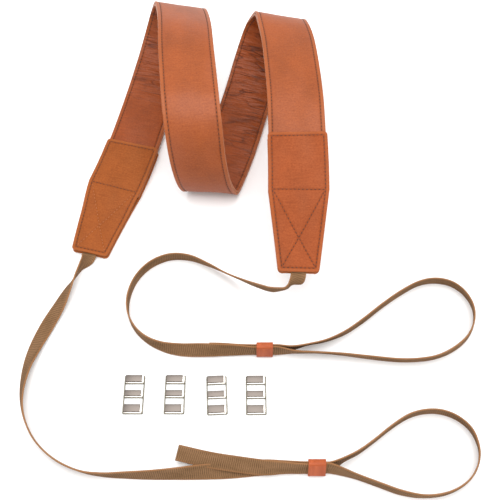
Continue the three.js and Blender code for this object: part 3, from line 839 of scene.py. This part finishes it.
corner_lengths = TAB_CORNER * np.array([0, 0.04, 0.1, 0.2, 0.35, 0.55, 0.8])
middle_lengths = spread(TAB_CORNER, TAB_LENGTH - TAB_CORNER, 0.6)
patch_lengths = np.concatenate([corner_lengths, middle_lengths, TAB_LENGTH - corner_lengths[::-1]])
patch_columns = spread(-1, 1, 0.6 / (TAB_WIDTH / 2))


def model_patch(name, node, side, outward, cross_seam, material):
    """side is 1 at the left end. outward is 1 where the patch faces the lining's side."""
    faces_up = outward == side

    def place(flat):
        s = flat[:, 1] if side > 0 else band.length - flat[:, 1]
        base = face_base(flat[:, 1]) if faces_up else BAND_HALF + LAYER_GAP
        return band.place(np.stack([flat[:, 0], s, outward * (base + flat[:, 2])], axis=1))

    section = section_of(patch_columns, spread(-1, 1, 0.2), TAB_THICK, PATCH_EDGE)
    rests = side > 0 and not faces_up
    relief = flat_relief if rests else patch_relief(cross_seam)
    bm = strip(patch_lengths, section, half_patch, relief, place, PATCH_EDGE)
    finish_piece(bm, name, material, [node])
    return place


# %% Model the four patches
left_face_place = model_patch(
    "left_patch_face", "left_tab_face", 1, 1, 0.3, left_patch_leather
)
model_patch("left_patch_back", "left_tab_back", 1, -1, 1.0, left_patch_leather)
right_face_place = model_patch(
    "right_patch_face", "right_tab_face", -1, -1, 0.7, right_patch_leather
)
right_back_place = model_patch(
    "right_patch_back", "right_tab_back", -1, 1, 1.0, right_patch_leather
)

# %% [markdown]
# The stitches
#
# A stitch is a short piece of thread that lies in the seam and dives into the leather at
# both ends. Thousands of them fit in one mesh if each is a small ball with few faces,
# drawn out along the seam. They are made flat, at even steps along each line, and then
# laid on the route like everything else.

# %% Define the stitches
STITCH_PITCH = 2.7
STITCH_LENGTH = 1.6
STITCH_WIDTH = 0.55


def stitches(name, lines, place, lift, material):
    """Stitches along straight flat lines, laid by place, lift millimetres up the leather."""
    bm = bmesh.new()
    size = Matrix.Diagonal((STITCH_LENGTH / 2, STITCH_WIDTH / 2, STITCH_WIDTH / 2.4, 1))
    for (ax, ay), (bx, by) in lines:
        reach = math.hypot(bx - ax, by - ay)
        count = max(int(reach / STITCH_PITCH), 1)
        turn = Matrix.Rotation(math.atan2(by - ay, bx - ax), 4, "Z")
        for k in range(count):
            part = (k + 0.5) / count
            where = Matrix.Translation((ax + (bx - ax) * part, ay + (by - ay) * part, lift))
            bmesh.ops.create_uvsphere(
                bm, u_segments=6, v_segments=4, radius=1, matrix=where @ turn @ size
            )
    laid = place(np.array([v.co for v in bm.verts]))
    for vert, place_of in zip(bm.verts, laid):
        vert.co = place_of
    bmesh.ops.recalc_face_normals(bm, faces=bm.faces[:])
    return finish_piece(bm, name, material, [])


seam_at = HALF_BAND - SEAM_INSET
band_lines = [
    ((side * seam_at, TAB_LENGTH + 1), (side * seam_at, band.length - TAB_LENGTH - 1))
    for side in (-1, 1)
]
outer_lift = OUTER_THICK - CROWN_DROP - SEAM_DEPTH + 0.16
lining_lift = LINING_THICK - CROWN_DROP - SEAM_DEPTH + 0.16
patch_lift = TAB_THICK - PATCH_SEAM_DEPTH + 0.12

# %% Sew the band and the patches
all_lines = FRAME_LINES + CROSS_LINES
stitches("outer_stitches", band_lines, laid_on_band(-1, LAYER_GAP / 2), outer_lift, thread)
stitches("lining_stitches", band_lines, laid_on_band(1, LAYER_GAP / 2), lining_lift, thread)
stitches("left_face_stitches", FRAME_LINES, left_face_place, patch_lift, thread)
stitches("left_face_cross", CROSS_LINES, left_face_place, patch_lift - 0.05, tan_thread)
stitches("right_face_stitches", all_lines, right_face_place, patch_lift, thread)
stitches("right_back_stitches", all_lines, right_back_place, patch_lift, thread)

# %% [markdown]
# The webbings
#
# The webbing is woven with a rib across it. Four rows of the grid to each rib are enough
# to give it real thickness, which shows along the edges. The same wave is painted as the
# crease value, which darkens the furrows with painted shade.

# %% Weave the webbings
RIB_HEIGHT = 0.16
WEB_EDGE = 0.4
web_columns = spread(-1, 1, 0.2)


def rib_relief(across, s):
    phase = np.pi * (s + 0.10 * across + 0.1 * np.sin(across * 1.7 + s * 0.21)) / RIB_PITCH
    furrow = 1 - np.abs(np.sin(phase))
    rim = bell(np.abs(across) - WEB_WIDTH / 2, 0.6)
    rise = -RIB_HEIGHT * furrow
    return rise, np.zeros_like(s), furrow, rim


def half_web(s):
    return np.full_like(s, WEB_WIDTH / 2)


def weave(name, node, route):
    section = section_of(web_columns, web_columns, WEB_THICK, WEB_EDGE)
    columns = len(web_columns)
    back_from = columns + 2 * len(BEND)
    section[back_from:back_from + columns, 3] = -1  # the back face is ribbed as well
    lengths = spread(0, route.length, RIB_PITCH / 4)

    def place(flat):
        return route.place(flat - np.array([0, 0, WEB_THICK / 2]))

    bm = strip(lengths, section, half_web, rib_relief, place)
    return finish_piece(bm, name, webbing_weave, [node])


weave("left_webbing", "webbing_left", left_web)
weave("right_webbing", "webbing_right", right_web)

# %% [markdown]
# The keepers
#
# A keeper is a strip of leather wrapped round both passes of the webbing. Its section is
# a rounded rectangle and its wall is 1 mm thick with soft, pale cut edges. The grid is
# rolled up twice here, once round the wall and once round the webbing.

# %% Wrap the keepers
KEEPER_ROUND = 1.3
KEEPER_EDGE = 0.38
KEEPER_STEPS = 48  # steps round the sleeve
keeper_leather = leather("keeper_leather", shade(166, 80, 40), shade(172, 96, 66), 0.5, 0.25)


def sleeve_path(count):
    """Points and outward directions round the middle of the keeper's wall, in its section."""
    half_x = WEB_WIDTH / 2 + KEEPER_CLEAR + KEEPER_WALL / 2
    half_z = (WEB_SPACING + WEB_THICK) / 2 + KEEPER_CLEAR + KEEPER_WALL / 2
    path = []
    for k in range(count):
        turn = 2 * math.pi * (k + 0.5) / count
        away = Vector((math.cos(turn), math.sin(turn)))
        corner = Vector((
            math.copysign(half_x - KEEPER_ROUND, away.x),
            math.copysign(half_z - KEEPER_ROUND, away.y),
        ))
        path.append((corner + away * KEEPER_ROUND, away))
    return path


def wrap_keeper(name, node, keeper):
    x, y, z, lean = keeper
    lean = math.radians(lean)
    across = Vector((0, -math.cos(lean), math.sin(lean)))
    out = Vector((0, math.sin(lean), math.cos(lean)))
    path = sleeve_path(KEEPER_STEPS)
    wall = section_of(spread(-1, 1, 0.2), spread(-1, 1, 0.5), KEEPER_WALL, KEEPER_EDGE)
    columns = len(wall)
    bm = bmesh.new()
    bmesh.ops.create_grid(bm, x_segments=columns, y_segments=len(path), size=1)
    uv_layer = bm.loops.layers.uv.new("flat")
    rim_layer = bm.verts.layers.float.new("rim")
    for vert in bm.verts:
        t, offset, height, share = wall[int(round((vert.co.x + 1) / 2 * columns)) % columns]
        k = int(round((vert.co.y + 1) / 2 * len(path)))
        spot, away = path[k % len(path)]
        along = t * (KEEPER_LENGTH / 2 - KEEPER_EDGE) + offset
        wave = 0.12 * noise.noise(Vector((along / 4, k / 6, z)))
        flat = spot + away * (height - KEEPER_WALL / 2 + wave * share)
        vert[rim_layer] = 1 - share if height > 0.1 else 0
        for loop in vert.link_loops:
            loop[uv_layer].uv = (along, k * 0.6)
        place = Vector((x + along, y, z)) + across * flat.x + out * flat.y + shift
        vert.co = place * MM
    bmesh.ops.remove_doubles(bm, verts=bm.verts[:], dist=1e-7)
    bmesh.ops.recalc_face_normals(bm, faces=bm.faces[:])
    return finish_piece(bm, name, keeper_leather, [node])


wrap_keeper("left_keeper_sleeve", "keeper_left", LEFT_KEEPER)
wrap_keeper("right_keeper_sleeve", "keeper_right", RIGHT_KEEPER)

# %% [markdown]
# The sliders
#
# A ladder slider is cast: two thin rails carry three cross bars. Each bar is a small
# satin plate. Its right end slopes down, a lip runs along its near side, and both are
# painted near white as a highlight. In front of the lip lies a thin rod that ends in a
# knob at each rail, and rails, rods and knobs are painted dark as shade. All of them are
# cubes with rounded edges, and a shear gives the end its slope.

# %% Cast the sliders
SLIDER_WIDTH = 13.4
SLIDER_BARS = [5.8, 5.0, 6.2]
SLIDER_SLOT = 4.5
SLIDER_HEIGHT = 2.2
PLATE_LIFT = 0.2  # the plates' under side stands this far off the table
RAIL_WIDTH = 0.65
RAIL_HEIGHT = 1.25
SLOPED_END = 1.9
END_SLOPE = 0.22
LIP = 0.65
ROD = 0.4
SLIDERS = [
    # x, y, turn in degrees
    (-76.5, -108, 0), (-49.5, -108, 0), (-21.8, -108.5, 2.7), (4, -108.5, 0.6),
]


def rounded_block(bm, middle, size, radius, slope=0.0):
    """A block with rounded edges added to bm. slope lowers it towards its right."""
    lean = Matrix(((1, 0, 0, 0), (0, 1, 0, 0), (-slope, 0, 1, 0), (0, 0, 0, 1)))
    place = Matrix.Translation(middle) @ lean @ Matrix.Diagonal((*size, 1))
    made = bmesh.ops.create_cube(bm, size=1, matrix=place)
    edges = {edge for vert in made["verts"] for edge in vert.link_edges}
    bmesh.ops.bevel(
        bm, geom=list(edges), offset=radius, affect="EDGES", segments=3, profile=0.5, material=-1
    )


def lay_slider(bm, row):
    x, y, turn = row
    middle = Matrix.Translation((x + shift.x, y + shift.y, shift.z))
    place = middle @ Matrix.Rotation(math.radians(turn), 4, "Z")
    bmesh.ops.transform(bm, matrix=Matrix.Scale(MM, 4) @ place, verts=bm.verts[:])
    bmesh.ops.recalc_face_normals(bm, faces=bm.faces[:])


def cast_slider(index, row):
    length = sum(SLIDER_BARS) + 2 * SLIDER_SLOT
    plates, lips, rails = bmesh.new(), bmesh.new(), bmesh.new()
    left = -SLIDER_WIDTH / 2 + RAIL_WIDTH
    right = SLIDER_WIDTH / 2 - SLOPED_END
    far = length / 2
    for bar in SLIDER_BARS:
        plate = bar - LIP - ROD
        middle = far - plate / 2
        near = far - plate
        height = SLIDER_HEIGHT - PLATE_LIFT
        size = (right - left, plate, height)
        rounded_block(plates, ((left + right) / 2, middle, height / 2 + PLATE_LIFT), size, 0.25)
        rounded_block(
            lips, (right + SLOPED_END / 2 - RAIL_WIDTH / 2, middle, height / 2 - 0.05),
            (SLOPED_END - RAIL_WIDTH, plate - 0.1, height - 0.3), 0.2, END_SLOPE
        )
        rounded_block(lips, (0, near - LIP / 2, 0.75), (SLIDER_WIDTH - 1.4, LIP, 1.5), 0.2)
        rounded_block(rails, (0, near - LIP - ROD / 2, 0.55), (SLIDER_WIDTH - 1.2, ROD, 1.1), 0.12)
        for side in (-1, 1):
            knob = (side * (SLIDER_WIDTH / 2 - 0.6), near - (LIP + ROD) / 2, 0.8)
            rounded_block(rails, knob, (0.9, LIP + ROD - 0.1, 1.6), 0.25)
        far -= bar + SLIDER_SLOT
    for side in (-1, 1):
        rounded_block(
            rails, (side * (SLIDER_WIDTH - RAIL_WIDTH) / 2, 0, RAIL_HEIGHT / 2),
            (RAIL_WIDTH, length - 0.6, RAIL_HEIGHT), 0.2
        )
    node = f"slider_{index + 1}"
    # the rails, rods and knobs wear the painted shade, the sloped ends and lips the painted
    # highlight
    for bm, part, material in (
        (rails, "rails", nickel_painted_shade), (lips, "lips", nickel_painted_highlight), (plates, "plates", nickel_face)
    ):
        lay_slider(bm, row)
        finish_piece(bm, f"{node}_{part}", material, [node])


for index, slider_row in enumerate(SLIDERS):
    cast_slider(index, slider_row)
